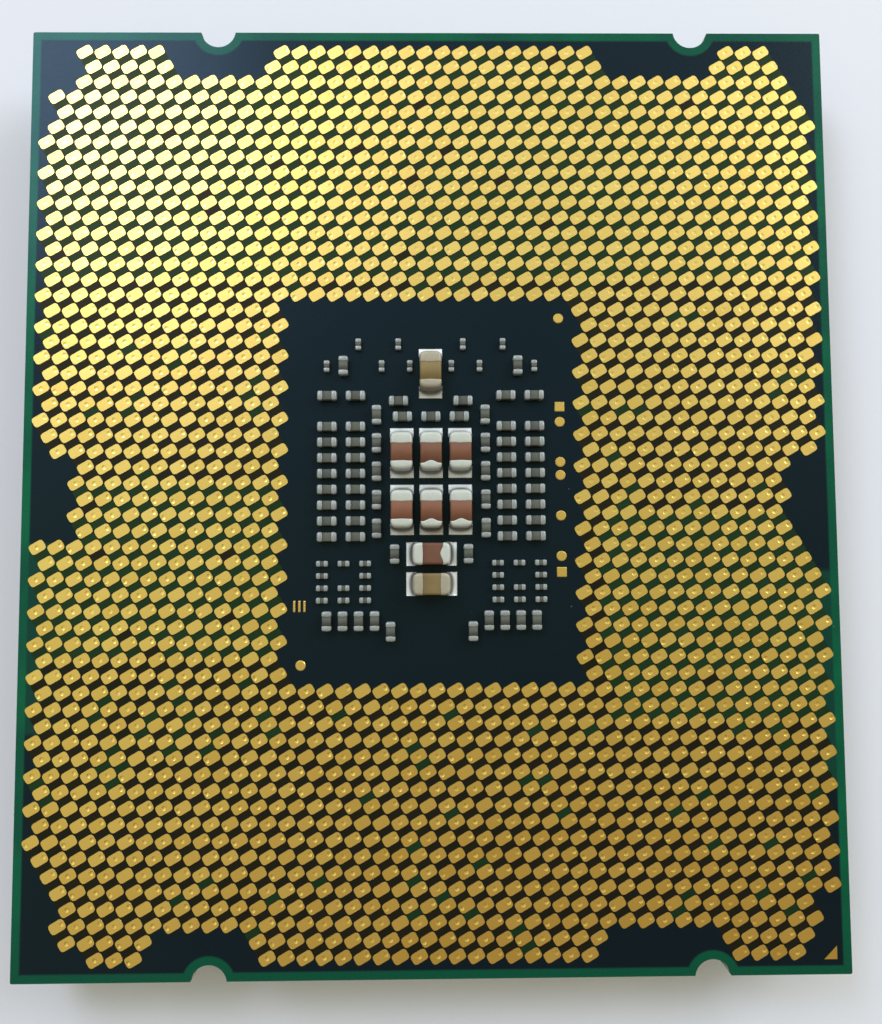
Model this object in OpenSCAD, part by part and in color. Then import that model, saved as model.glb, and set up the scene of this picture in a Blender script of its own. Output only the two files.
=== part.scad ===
// Land grid array processor package, lying on its lid with the contact lands up.
// Lengths are in millimetres. Z = 0 is the lid's contact face and +Y runs along the long side.

/* [Package] */
// Width of the substrate along X
package_width = 45; // [40:0.5:60]
// Length of the substrate along Y
package_length = 52.5; // [46:0.5:70]
// Thickness of the laminate
substrate_thick = 1.87; // [1:0.01:3]
// Radius of the sawn corners of the substrate
substrate_corner = 0.1; // [0.05:0.05:1]

/* [Keying notches] */
// Radius of the half-round notches in the two short edges
notch_radius = 0.98; // [0.5:0.02:1.5]
// How far a notch reaches in from the edge
notch_depth = 0.86; // [0.3:0.02:1.4]
// Distance of the left notches from the centre line
notch_left = 12; // [10.5:0.1:13.5]
// Distance of the right notches from the centre line
notch_right = 15; // [12:0.1:16.5]

/* [Contact lands] */
// Distance between the centres of neighbouring lands
land_pitch = 1.016; // [0.9:0.002:1.04]
// Gap between the rounded ends of two neighbouring lands
land_gap = 0.096; // [0.05:0.002:0.3]
// Width of a land across its two flats
land_width = 0.61; // [0.3:0.01:0.8]
// Turn of a land's long axis away from X
land_angle = 30; // [0:1:60]
// Height of a land above the solder mask
land_thick = 0.03; // [0.02:0.005:0.06]
// Rows of the full staggered grid
land_rows = 58; // [40:2:60]
// Columns of the full staggered grid
land_cols = 43; // [31:2:45]
// Least distance from a land's centre to the edge of the substrate
land_edge = 0.75; // [0.6:0.05:2]

/* [Heat spreader] */
// Bare strip of substrate beside the lid
lid_margin_side = 1.7; // [1:0.1:3]
// Bare strip of substrate past the ends of the lid
lid_margin_end = 2.6; // [1.5:0.1:4]
// Height of the lid from its contact face to its rim
lid_height = 3; // [2.4:0.05:4]
// Radius of the corners of the lid's flange
lid_corner = 0.8; // [0.3:0.1:1.5]
// Depth of the cut in each flange corner, along X
lid_cut_side = 3.4; // [2:0.1:5]
// Depth of the cut in each flange corner, along Y
lid_cut_end = 4.2; // [2:0.1:5]
// Step from the flange's side in to the raised plateau
plateau_inset_side = 2.9; // [1:0.1:5]
// Step from the flange's end in to the raised plateau
plateau_inset_end = 4.6; // [1:0.1:6]
// Height of the plateau over the flange
plateau_rise = 1.3; // [0.6:0.05:1.6]
// Radius of the plateau's corners
plateau_corner = 2; // [1:0.1:4]
// Radius of the rolled edge around the contact face
plateau_edge = 0.4; // [0.1:0.05:0.8]
// Wall between the plateau's outline and the pocket over the die
pocket_inset = 2.7; // [1:0.1:4]
// Radius of the pocket's corners
pocket_corner = 2; // [0.5:0.1:4]
// Diameter of the vent hole through the lid
vent_diameter = 0.9; // [0.4:0.05:1.5]
// Distance of the vent hole from two walls of the pocket
vent_inset = 1.6; // [1:0.1:3]

/* [Sealant] */
// Thickness of the sealant bead between lid and substrate
sealant_thick = 0.17; // [0.08:0.01:0.3]
// Width of the sealant bead
sealant_width = 2.2; // [1:0.1:2.6]
// Setback of the bead from the pocket's wall
sealant_clear = 0.5; // [0.2:0.05:1]

/* [Die] */
// Width of the die along X
die_width = 20.8; // [10:0.1:24]
// Length of the die along Y
die_length = 20.9; // [10:0.1:26]
// Thickness of the die
die_thick = 0.775; // [0.6:0.005:0.9]
// Thickness of the solder between die and lid
solder_thick = 0.3; // [0.1:0.01:0.5]
// Stand-off of the die on its solder bumps
bump_gap = 0.085; // [0.05:0.005:0.15]
// Reach of the underfill's fillet past the die
underfill_reach = 0.9; // [0.3:0.05:2]
// Climb of the underfill's fillet up the side of the die
underfill_climb = 0.5; // [0.2:0.05:0.55]

/* [Bulk capacitors] */
// Length over the end terminals
bulk_length = 2.06; // [1.6:0.02:2.4]
// Width of a bulk capacitor
bulk_width = 1.2; // [0.8:0.02:1.5]
// Height of a bulk capacitor
bulk_height = 1.27; // [0.6:0.01:1.6]
// Length of each end terminal
bulk_band = 0.56; // [0.2:0.02:0.7]
// Thickness of the terminals' plating
bulk_plating = 0.015; // [0.01:0.005:0.08]
// Radius of the long edges
bulk_edge = 0.12; // [0.09:0.01:0.3]
// Radius of the hollow solder fillet at each end
bulk_fillet = 0.37; // [0.1:0.01:0.6]
// Overhang of the fillets past the capacitor's sides
fillet_overhang = 0.05; // [0:0.01:0.07]
// Gap between bulk capacitors side by side
bulk_gap = 0.41; // [0.15:0.01:0.6]
// Gap between bulk capacitors end to end, solder to solder
bulk_end_gap = 0.36; // [0.15:0.01:0.6]
// Gap above and between the two crosswise bulk capacitors
south_gap = 0.44; // [0.2:0.01:0.6]

/* [Middle capacitors] */
// Length over the end terminals
mid_length = 1.08; // [0.8:0.02:1.3]
// Width of a middle capacitor
mid_width = 0.52; // [0.3:0.02:0.7]
// Height of a middle capacitor
mid_height = 0.5; // [0.3:0.01:0.7]
// Length of each end terminal
mid_band = 0.3; // [0.1:0.01:0.4]
// Thickness of the terminals' plating
mid_plating = 0.02; // [0.01:0.005:0.04]
// Gap between middle capacitors side by side
mid_gap = 0.35; // [0.15:0.01:0.5]
// Gap between middle capacitors end to end
mid_end_gap = 0.49; // [0.2:0.01:0.7]

/* [Small capacitors] */
// Length over the end terminals
small_length = 0.65; // [0.55:0.01:0.8]
// Width of a small capacitor
small_width = 0.32; // [0.2:0.01:0.4]
// Height of a small capacitor
small_height = 0.31; // [0.2:0.01:0.4]
// Length of each end terminal
small_band = 0.23; // [0.08:0.01:0.25]
// Thickness of the terminals' plating
small_plating = 0.015; // [0.01:0.005:0.03]
// Gap between small capacitors side by side
small_gap = 0.35; // [0.15:0.01:0.6]
// Gap between small capacitors end to end
small_end_gap = 0.53; // [0.2:0.01:0.8]

/* [Gold marks] */
// Diameter of the round alignment dots and test pads
dot_diameter = 0.56; // [0.3:0.02:0.8]
// Side of the square test pads
square_side = 0.54; // [0.3:0.02:0.8]
// Setback of the marks from the edge of the capacitor bay
mark_inset = 0.95; // [0.85:0.01:1.2]
// Width of one plain bar beside the bay
bar_width = 0.12; // [0.06:0.01:0.2]
// Length of one plain bar
bar_length = 0.62; // [0.3:0.02:1]
// Gap between two bars
bar_gap = 0.16; // [0.08:0.01:0.3]
// Leg of the first-contact triangle
triangle_leg = 0.7; // [0.4:0.02:1]
// Setback of the triangle from the two edges of its corner
triangle_inset = 0.8; // [0.3:0.02:1]

/* [Hidden] */
$fn = 48;
// overshoot of a cutting tool past the face that it cuts
cut = 1;

// heights of the stack, from the lid's contact face up to the lands
seal_z = lid_height;
core_z = seal_z + sealant_thick;
mask_z = core_z + substrate_thick;
pocket_depth = solder_thick + die_thick + bump_gap - sealant_thick;
pocket_z = lid_height - pocket_depth;
die_z = pocket_z + solder_thick;
bump_z = die_z + die_thick;

// plan sizes of the lid
lid_width = package_width - 2 * lid_margin_side;
lid_length = package_length - 2 * lid_margin_end;
plateau_width = lid_width - 2 * plateau_inset_side;
plateau_length = lid_length - 2 * plateau_inset_end;
pocket_width = plateau_width - 2 * pocket_inset;
pocket_length = plateau_length - 2 * pocket_inset;
bead_width = pocket_width + 2 * sealant_clear;
bead_length = pocket_length + 2 * sealant_clear;
bead_corner = pocket_corner + sealant_clear;

// grid of the lands: every second row is set over by half a pitch
row_pitch = land_pitch * sqrt(3) / 2;
stagger = 1 / 4;
land_length = land_pitch - land_gap;
last_row = land_rows - 1;
last_col = land_cols - 1;
far = land_cols;
bay_first_row = 17;
bay_last_row = 40;
bay_half_steps = 8;
bay_x = bay_half_steps * land_pitch;
bay_y = (bay_last_row - bay_first_row + 1) / 2 * row_pitch;

// places left bare: first row, last row, then from and to in pitches from the centre line
keepouts = [
  [bay_first_row, bay_last_row, -bay_half_steps, bay_half_steps],
  [0, 2, -far, -19.5],
  [0, 4, -far, -21],
  [0, 1, 19.5, far],
  [2, 3, 20.5, far],
  [26, 26, -far, -21],
  [27, 31, -far, -19.5],
  [27, 31, 19.5, far],
  [32, 33, 20.5, far],
  [52, 52, -far, -21],
  [53, 56, -far, -20],
  [57, 57, -far, -18],
  [54, 56, 20.5, far],
  [57, 57, 20, far],
  [0, 1, -14.5, -9],
  [0, 1, 9.5, 16],
  [56, 57, -15, -9.5],
  [56, 57, 9, 15.5]
];

notch_y = package_length / 2 - notch_depth + notch_radius;
notches = [for (x = [-notch_left, notch_right], end = [-1, 1]) [x, end * notch_y]];
land_clear = 0.2;

function land_step(row, col) = col - last_col / 2 + (row % 2 == 0 ? -stagger : stagger);
function land_x(row, col) = land_step(row, col) * land_pitch;
function land_y(row) = (last_row / 2 - row) * row_pitch;
function in_keepout(row, step) =
  len([for (k = keepouts) if (row >= k[0] && row <= k[1] && step > k[2] && step < k[3]) k]) > 0;
function on_board(x, y) =
  abs(x) <= package_width / 2 - land_edge && abs(y) <= package_length / 2 - land_edge;
function clear_of_notches(p) =
  min([for (n = notches) norm(p - n)]) > notch_radius + land_length / 2 + land_clear;

// layout of the capacitor bay, worked outwards from the six bulk capacitors in its middle
bulk_span = bulk_length + 2 * bulk_fillet;
bulk_pitch_x = bulk_width + bulk_gap;
bulk_pitch_y = bulk_span + bulk_end_gap;
bulk_centre_y = 0.455;
upper_y = bulk_centre_y + bulk_pitch_y / 2;
lower_y = bulk_centre_y - bulk_pitch_y / 2;
south_inner_y = lower_y - bulk_span / 2 - south_gap - bulk_width / 2;
south_outer_y = south_inner_y - bulk_width - south_gap;
level_row_gap = 0.34;
level_row_y = upper_y + bulk_span / 2 + level_row_gap + mid_width / 2;
north_gap = 0.79;
north_y = level_row_y + mid_width / 2 + north_gap + bulk_span / 2;

// bulk capacitors: x, y, turn
bulk_north = [0, north_y, 90];
bulk_upper_left = [-bulk_pitch_x, upper_y, 90];
bulk_upper_middle = [0, upper_y, 90];
bulk_upper_right = [bulk_pitch_x, upper_y, 90];
bulk_lower_left = [-bulk_pitch_x, lower_y, 90];
bulk_lower_middle = [0, lower_y, 90];
bulk_lower_right = [bulk_pitch_x, lower_y, 90];
bulk_south_inner = [0, south_inner_y, 0];
bulk_south_outer = [0, south_outer_y, 0];
bulk_places = [
  bulk_north, bulk_upper_left, bulk_upper_middle, bulk_upper_right, bulk_lower_left,
  bulk_lower_middle, bulk_lower_right, bulk_south_inner, bulk_south_outer
];

// columns of middle capacitors on both sides of the bulk ones
sides = [-1, 1];
mid_pitch = mid_width + mid_gap;
mid_end_pitch = mid_length + mid_end_gap;
column_gap = 0.36;
inner_gap = 0.53;
inner_x = bulk_pitch_x + bulk_width / 2 + inner_gap + mid_width / 2;
middle_x = inner_x + mid_width / 2 + column_gap + mid_length / 2;
outer_x = middle_x + mid_end_pitch;
inner_count = 5;
inner_centre_y = 0.99;
level_count = 8;
level_centre_y = 0.435;
level_extra = 1.98;
south_side_x = bulk_span / 2 + column_gap + mid_width / 2;
pair_gap = 0.64;
pair_x = bulk_width / 2 + pair_gap + mid_length / 2;
top_row_y = 6.88;
top_mid_x = 4.84;
bottom_row_y = -7.2;
bottom_first_x = 3.12;
bottom_count = 4;
bottom_pair = [2.25, -7.78];

mid_upright_places = concat(
  [for (s = sides, i = [0 : inner_count - 1])
    [s * inner_x, inner_centre_y + ((inner_count - 1) / 2 - i) * mid_end_pitch]],
  [for (s = sides) [s * south_side_x, south_inner_y]],
  [for (s = sides) [s * top_mid_x, top_row_y]],
  [for (s = sides, i = [0 : bottom_count - 1]) [s * (bottom_first_x + i * mid_pitch), bottom_row_y]],
  [for (s = sides) [s * bottom_pair[0], bottom_pair[1]]]
);
mid_level_places = concat(
  [for (s = sides, x = [middle_x, outer_x], i = [0 : level_count - 1])
    [s * x, level_centre_y + ((level_count - 1) / 2 - i) * mid_pitch]],
  [for (s = sides, x = [middle_x, outer_x])
    [s * x, level_centre_y + ((level_count - 1) / 2 + level_extra) * mid_pitch]],
  [for (i = [-1 : 1]) [i * mid_end_pitch, level_row_y]],
  [for (s = sides) [s * pair_x, level_row_y + mid_pitch]]
);

// small capacitors: two upright rows at the top, three level columns on each side below
small_pitch = small_width + small_gap;
small_end_pitch = small_length + small_end_gap;
small_top_y = 8.11;
small_top_x = [1.8, 4.02];
small_second_x = [1.15, 2.72, 5.77];
small_column_x = 3.64;
small_columns = 3;
small_rows = 4;
small_first_y = -4.07;
small_upright_places = concat(
  [for (x = small_top_x, s = sides) [s * x, small_top_y]],
  [for (x = small_second_x, s = sides) [s * x, top_row_y]]
);
small_level_places = [
  for (s = sides, c = [0 : small_columns - 1], r = [0 : small_rows - 1])
    if (c != 1 || r != 1) [s * (small_column_x + c * small_end_pitch), small_first_y - r * small_pitch]
];

// test pads down the right of the bay, and the bars on the left
mark_x = bay_x - mark_inset;
mark_y = bay_y - mark_inset;
test_round_y = [3.75, 1.5, 0.77, -1.48, -3.72];
test_square_y = [4.6, -4.6];
bars_y = -6.4;
bar_count = 3;

gold = [0.83, 0.68, 0.34];
silver = [0.82, 0.81, 0.78];
brown = [0.42, 0.27, 0.2];
tan_ceramic = [0.62, 0.5, 0.38];
slate = [0.27, 0.27, 0.29];

module rounded_plan(width, length, corner) {
  square([width - 2 * corner, length], center = true);
  square([width, length - 2 * corner], center = true);
  for (x = [-1, 1], y = [-1, 1])
    translate([x * (width / 2 - corner), y * (length / 2 - corner)]) circle(r = corner);
}

// section of a plate whose two lower edges are rolled
module rolled_section(width, height, edge) {
  translate([-width / 2, edge]) square([width, height - edge]);
  translate([-width / 2 + edge, 0]) square([width - 2 * edge, height]);
  for (x = [-1, 1]) translate([x * (width / 2 - edge), edge]) circle(r = edge);
}

module rolled_corner(corner, height, edge) {
  rotate_extrude() {
    translate([0, edge]) square([corner, height - edge]);
    square([corner - edge, height]);
    translate([corner - edge, edge]) intersection() {
      circle(r = edge);
      translate([0, -edge]) square([edge, 2 * edge]);
    }
  }
}

module rolled_plate(width, length, height, corner, edge) {
  rotate([90, 0, 0]) translate([0, 0, -length / 2 + corner])
    linear_extrude(length - 2 * corner) rolled_section(width, height, edge);
  rotate([90, 0, 90]) translate([0, 0, -width / 2 + corner])
    linear_extrude(width - 2 * corner) rolled_section(length, height, edge);
  for (x = [-1, 1], y = [-1, 1])
    translate([x * (width / 2 - corner), y * (length / 2 - corner), 0])
      rolled_corner(corner, height, edge);
}

module substrate() {
  color([0.07, 0.2, 0.17])
  translate([0, 0, core_z]) linear_extrude(substrate_thick) difference() {
    rounded_plan(package_width, package_length, substrate_corner);
    for (n = notches) translate(n) circle(r = notch_radius);
  }
}

// a land is a round pad trimmed by two flats
module land_plan() {
  intersection() {
    circle(d = land_length);
    square([2 * land_length, land_width], center = true);
  }
}

module land_bank(first, last, side) {
  color(gold)
  for (row = [first : last], col = [0 : last_col]) {
    step = land_step(row, col);
    x = land_x(row, col);
    y = land_y(row);
    if (side * step >= 0 && !in_keepout(row, step) && on_board(x, y) && clear_of_notches([x, y]))
      translate([x, y, mask_z]) rotate(land_angle) linear_extrude(land_thick) land_plan();
  }
}

module lands_top() { land_bank(0, bay_first_row - 1, 0); }
module lands_left() { land_bank(bay_first_row, bay_last_row, -1); }
module lands_right() { land_bank(bay_first_row, bay_last_row, 1); }
module lands_bottom() { land_bank(bay_last_row + 1, last_row, 0); }

module alignment_dots() {
  color(gold)
  for (s = sides) translate([s * mark_x, s * mark_y, mask_z]) cylinder(d = dot_diameter, h = land_thick);
}

module test_pads_round() {
  color(gold)
  for (y = test_round_y) translate([mark_x, y, mask_z]) cylinder(d = dot_diameter, h = land_thick);
}

module test_pads_square() {
  color(gold)
  for (y = test_square_y)
    translate([mark_x - square_side / 2, y - square_side / 2, mask_z])
      cube([square_side, square_side, land_thick]);
}

module plain_bars() {
  color(gold)
  for (i = [0 : bar_count - 1])
    translate([-mark_x + (i - bar_count / 2) * (bar_width + bar_gap), bars_y - bar_length / 2, mask_z])
      cube([bar_width, bar_length, land_thick]);
}

module first_contact_mark() {
  color(gold)
  translate([package_width / 2 - triangle_inset, -package_length / 2 + triangle_inset, mask_z])
    linear_extrude(land_thick) polygon([[0, 0], [0, triangle_leg], [-triangle_leg, 0]]);
}

module flange_plan() {
  rounded_plan(lid_width, lid_length - 2 * lid_cut_end, lid_corner);
  rounded_plan(lid_width - 2 * lid_cut_side, lid_length, lid_corner);
}

module heat_spreader() {
  color([0.74, 0.73, 0.7])
  difference() {
    union() {
      translate([0, 0, plateau_rise]) linear_extrude(lid_height - plateau_rise) flange_plan();
      rolled_plate(plateau_width, plateau_length, lid_height, plateau_corner, plateau_edge);
    }
    translate([0, 0, pocket_z]) linear_extrude(pocket_depth + cut)
      rounded_plan(pocket_width, pocket_length, pocket_corner);
    translate([pocket_width / 2 - vent_inset, pocket_length / 2 - vent_inset, -cut])
      cylinder(d = vent_diameter, h = lid_height + 2 * cut);
  }
}

module lid_sealant() {
  color([0.16, 0.16, 0.17])
  translate([0, 0, seal_z]) linear_extrude(sealant_thick) difference() {
    rounded_plan(bead_width + 2 * sealant_width, bead_length + 2 * sealant_width, bead_corner + sealant_width);
    rounded_plan(bead_width, bead_length, bead_corner);
  }
}

module die_block(z, height) {
  translate([-die_width / 2, -die_length / 2, z]) cube([die_width, die_length, height]);
}

module thermal_solder() {
  color([0.66, 0.67, 0.7])
  die_block(pocket_z, solder_thick);
}

module die() {
  color([0.35, 0.36, 0.4])
  die_block(die_z, die_thick);
}

module wedge_plan() {
  polygon([[0, 0], [underfill_reach, 0], [0, underfill_climb + bump_gap]]);
}

module wedge_side(length) {
  rotate([90, 0, 0]) translate([0, 0, -length / 2]) linear_extrude(length) wedge_plan();
}

// the underfill stands on the lid side of the substrate and climbs towards the lid
module die_underfill() {
  color([0.2, 0.2, 0.24])
  translate([0, 0, core_z]) mirror([0, 0, 1]) {
    die_block(0, bump_gap);
    for (s = [0, 180]) rotate(s) {
      translate([die_width / 2, 0, 0]) wedge_side(die_length);
      rotate(90) translate([die_length / 2, 0, 0]) wedge_side(die_width);
      translate([die_width / 2, die_length / 2, 0]) rotate_extrude(angle = 90) wedge_plan();
      translate([-die_width / 2, die_length / 2, 0]) rotate(90) rotate_extrude(angle = 90) wedge_plan();
    }
  }
}

// bulk capacitor along X: a ceramic block with rounded long edges, in plated end cups
module bulk_prism(from, to, plating) {
  width = bulk_width - 2 * plating;
  height = bulk_height - 2 * plating;
  translate([from, 0, bulk_height / 2]) rotate([90, 0, 90])
    linear_extrude(to - from) rounded_plan(width, height, bulk_edge - plating);
}

module bulk_core() {
  bulk_prism(-bulk_length / 2 + bulk_plating, bulk_length / 2 - bulk_plating, bulk_plating);
}

module bulk_at(place) {
  translate([place[0], place[1], mask_z]) rotate(place[2]) children();
}

module bulk_body(place, shade) {
  color(shade) bulk_at(place) bulk_core();
}

module bulk_ends(place) {
  color(silver) bulk_at(place) difference() {
    for (turn = [0, 180]) rotate(turn) bulk_prism(bulk_length / 2 - bulk_band, bulk_length / 2, 0);
    bulk_core();
  }
}

module bulk_body_north() { bulk_body(bulk_north, tan_ceramic); }
module bulk_body_upper_left() { bulk_body(bulk_upper_left, brown); }
module bulk_body_upper_middle() { bulk_body(bulk_upper_middle, brown); }
module bulk_body_upper_right() { bulk_body(bulk_upper_right, brown); }
module bulk_body_lower_left() { bulk_body(bulk_lower_left, brown); }
module bulk_body_lower_middle() { bulk_body(bulk_lower_middle, brown); }
module bulk_body_lower_right() { bulk_body(bulk_lower_right, brown); }
module bulk_body_south_inner() { bulk_body(bulk_south_inner, brown); }
module bulk_body_south_outer() { bulk_body(bulk_south_outer, tan_ceramic); }
module bulk_ends_north() { bulk_ends(bulk_north); }
module bulk_ends_upper_left() { bulk_ends(bulk_upper_left); }
module bulk_ends_upper_middle() { bulk_ends(bulk_upper_middle); }
module bulk_ends_upper_right() { bulk_ends(bulk_upper_right); }
module bulk_ends_lower_left() { bulk_ends(bulk_lower_left); }
module bulk_ends_lower_middle() { bulk_ends(bulk_lower_middle); }
module bulk_ends_lower_right() { bulk_ends(bulk_lower_right); }
module bulk_ends_south_inner() { bulk_ends(bulk_south_inner); }
module bulk_ends_south_outer() { bulk_ends(bulk_south_outer); }

// hollow fillet of solder against an end cup, as wide as the cup's solder pad
module fillet_prism() {
  depth = bulk_width + 2 * fillet_overhang;
  translate([bulk_length / 2, depth / 2, 0]) rotate([90, 0, 0]) linear_extrude(depth) difference() {
    square(bulk_fillet);
    translate([bulk_fillet, bulk_fillet]) circle(r = bulk_fillet);
  }
}

module bulk_solder_fillets() {
  color([0.9, 0.9, 0.88])
  for (place = bulk_places, turn = [0, 180]) bulk_at(place) rotate(turn) fillet_prism();
}

// plain chip capacitor along X, for the middle and small sizes
module chip_core(length, width, height, plating) {
  translate([plating - length / 2, plating - width / 2, plating])
    cube([length - 2 * plating, width - 2 * plating, height - 2 * plating]);
}

module chip_cups(length, width, height, plating, band) {
  difference() {
    for (turn = [0, 180]) rotate(turn)
      translate([length / 2 - band, -width / 2, 0]) cube([band, width, height]);
    chip_core(length, width, height, plating);
  }
}

module chip_row(places, turn) {
  for (p = places) translate([p[0], p[1], mask_z]) rotate(turn) children();
}

module mid_core() { chip_core(mid_length, mid_width, mid_height, mid_plating); }
module mid_cups() { chip_cups(mid_length, mid_width, mid_height, mid_plating, mid_band); }
module small_core() { chip_core(small_length, small_width, small_height, small_plating); }
module small_cups() { chip_cups(small_length, small_width, small_height, small_plating, small_band); }

module mid_upright_bodies() { color(slate) chip_row(mid_upright_places, 90) mid_core(); }
module mid_upright_ends() { color(silver) chip_row(mid_upright_places, 90) mid_cups(); }
module mid_level_bodies() { color(slate) chip_row(mid_level_places, 0) mid_core(); }
module mid_level_ends() { color(silver) chip_row(mid_level_places, 0) mid_cups(); }
module small_upright_bodies() { color(slate) chip_row(small_upright_places, 90) small_core(); }
module small_upright_ends() { color(silver) chip_row(small_upright_places, 90) small_cups(); }
module small_level_bodies() { color(slate) chip_row(small_level_places, 0) small_core(); }
module small_level_ends() { color(silver) chip_row(small_level_places, 0) small_cups(); }

substrate();
lands_top();
lands_left();
lands_right();
lands_bottom();
alignment_dots();
test_pads_round();
test_pads_square();
plain_bars();
first_contact_mark();
heat_spreader();
lid_sealant();
thermal_solder();
die();
die_underfill();
bulk_body_north();
bulk_body_upper_left();
bulk_body_upper_middle();
bulk_body_upper_right();
bulk_body_lower_left();
bulk_body_lower_middle();
bulk_body_lower_right();
bulk_body_south_inner();
bulk_body_south_outer();
bulk_ends_north();
bulk_ends_upper_left();
bulk_ends_upper_middle();
bulk_ends_upper_right();
bulk_ends_lower_left();
bulk_ends_lower_middle();
bulk_ends_lower_right();
bulk_ends_south_inner();
bulk_ends_south_outer();
bulk_solder_fillets();
mid_upright_bodies();
mid_upright_ends();
mid_level_bodies();
mid_level_ends();
small_upright_bodies();
small_upright_ends();
small_level_bodies();
small_level_ends();
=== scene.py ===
import bpy
import numpy as np
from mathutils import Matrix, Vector


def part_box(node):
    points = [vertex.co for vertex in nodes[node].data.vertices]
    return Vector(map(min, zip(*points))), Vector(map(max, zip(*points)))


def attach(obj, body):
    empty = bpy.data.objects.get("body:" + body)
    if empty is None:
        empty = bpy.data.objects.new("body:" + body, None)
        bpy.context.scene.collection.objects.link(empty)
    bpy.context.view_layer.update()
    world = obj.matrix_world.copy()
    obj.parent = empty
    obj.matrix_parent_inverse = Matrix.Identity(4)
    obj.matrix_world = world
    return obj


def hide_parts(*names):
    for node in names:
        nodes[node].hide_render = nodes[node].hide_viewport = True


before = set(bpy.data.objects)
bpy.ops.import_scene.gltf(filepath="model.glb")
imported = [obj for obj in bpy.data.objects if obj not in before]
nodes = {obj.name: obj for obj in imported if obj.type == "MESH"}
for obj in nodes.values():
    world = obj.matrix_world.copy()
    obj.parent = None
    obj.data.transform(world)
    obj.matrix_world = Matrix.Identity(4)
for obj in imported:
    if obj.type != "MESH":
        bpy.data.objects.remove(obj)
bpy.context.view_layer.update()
mm = 0.001
dice = np.random.default_rng(2011)
print("frame:", len(nodes), "nodes")


# sRGB steps of 0 to 255 as a linear colour
def paint(red, green, blue):
    step = np.array((red, green, blue)) / 255
    linear = np.where(step <= 0.04045, step / 12.92, ((step + 0.055) / 1.055) ** 2.4)
    return (*linear.tolist(), 1.0)


# a colour with a share of its light
def dimmed(colour, share):
    return (*(share * part for part in colour[:3]), 1.0)


# a socket of a node tree; maths on it adds Math nodes
class Wire:
    def __init__(self, tree, socket=None):
        self.tree = tree
        self.socket = socket

    # any node: its type, its settings, then a value or a wire for each socket
    def add(self, kind, settings=None, sockets=None, out=0):
        node = self.tree.nodes.new(kind)
        for key, value in (settings or {}).items():
            if key == "stops":
                for place, _ in value[1:-1]:
                    node.color_ramp.elements.new(place)
                for stop, (place, colour) in zip(node.color_ramp.elements, value):
                    stop.position = place
                    stop.color = colour
            else:
                setattr(node, key, value)
        for key, value in (sockets or {}).items():
            if isinstance(value, Wire):
                self.tree.links.new(value.socket, node.inputs[key])
            else:
                node.inputs[key].default_value = value
        return Wire(self.tree, node.outputs[out] if len(node.outputs) else None)

    # another output of the same node
    def other(self, out):
        return Wire(self.tree, self.socket.node.outputs[out])

    def math(self, operation, *values):
        return self.add("ShaderNodeMath", {"operation": operation}, dict(enumerate(values)))

    # 0 below the first value, 1 above the second, eased between
    def rise(self, start, end):
        ease = {"interpolation_type": "SMOOTHSTEP"}
        return self.add("ShaderNodeMapRange", ease, {"Value": self, "From Min": start, "From Max": end})

    # 0 before an edge, 1 past it, eased over the blur on both sides
    def past(self, edge, blur):
        return self.rise(edge - blur, edge + blur)

    # the first colour where this is 0, the second where it is 1
    def between(self, first, second):
        return self.add("ShaderNodeMix", {"data_type": "RGBA"}, {0: self, 6: first, 7: second}, out=2)

    def __add__(self, value):
        return self.math("ADD", self, value)

    def __radd__(self, value):
        return self.math("ADD", value, self)

    def __sub__(self, value):
        return self.math("SUBTRACT", self, value)

    def __rsub__(self, value):
        return self.math("SUBTRACT", value, self)

    def __mul__(self, value):
        return self.math("MULTIPLY", self, value)

    def __rmul__(self, value):
        return self.math("MULTIPLY", value, self)

    def __abs__(self):
        return self.math("ABSOLUTE", self)


# a material whose look function gives the shader's sockets
def finish(name, look):
    material = bpy.data.materials.new(name)
    material.use_nodes = True
    material.node_tree.nodes.clear()
    tree = Wire(material.node_tree)
    shader = tree.add("ShaderNodeBsdfPrincipled", None, look(tree))
    tree.add("ShaderNodeOutputMaterial", None, {"Surface": shader})
    return material


# object coordinates in millimetres
def inMm(tree):
    place = tree.add("ShaderNodeTexCoord", out=3)
    return tree.add("ShaderNodeVectorMath", {"operation": "SCALE"}, {0: place, "Scale": 1 / mm})


def splitAxes(tree, vector):
    axes = tree.add("ShaderNodeSeparateXYZ", None, {0: vector})
    return axes, axes.other(1), axes.other(2)


# a number that the mesh carries at its points
def tag(tree, name):
    return tree.add("ShaderNodeAttribute", {"attribute_name": name}, out=2)


# noise with so many cells to a millimetre
def noise(tree, place, scale, detail):
    return tree.add("ShaderNodeTexNoise", None, {"Vector": place, "Scale": scale, "Detail": detail})


# place stretched by a factor on each axis
def stretched(tree, place, factors):
    return tree.add("ShaderNodeVectorMath", {"operation": "MULTIPLY"}, {0: place, 1: factors})


# depth is in millimetres
def bump(tree, height, strength, depth):
    return tree.add("ShaderNodeBump", None, {"Strength": strength, "Distance": depth * mm, "Height": height})


# in the finishes a noise is its scale and detail, and a relief its strength and depth
goldFinish = {
    "deep": paint(219, 181, 88),
    "pale": paint(240, 208, 118),
    # the dimple's paler colour is a painted highlight
    "dimple": paint(254, 224, 128),
    "cloud": (0.35, 2.0),
    "grain": (14.0, 4.0),
    "shares": (0.5, 0.3, 0.4),  # cloud, grain, the land's own tone
    "lift": 0.1,
    "rough": 0.35,
    "dimpleRough": 0.22,
    "roughSwing": 0.16,
    "relief": (0.25, 0.004),
}
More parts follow.
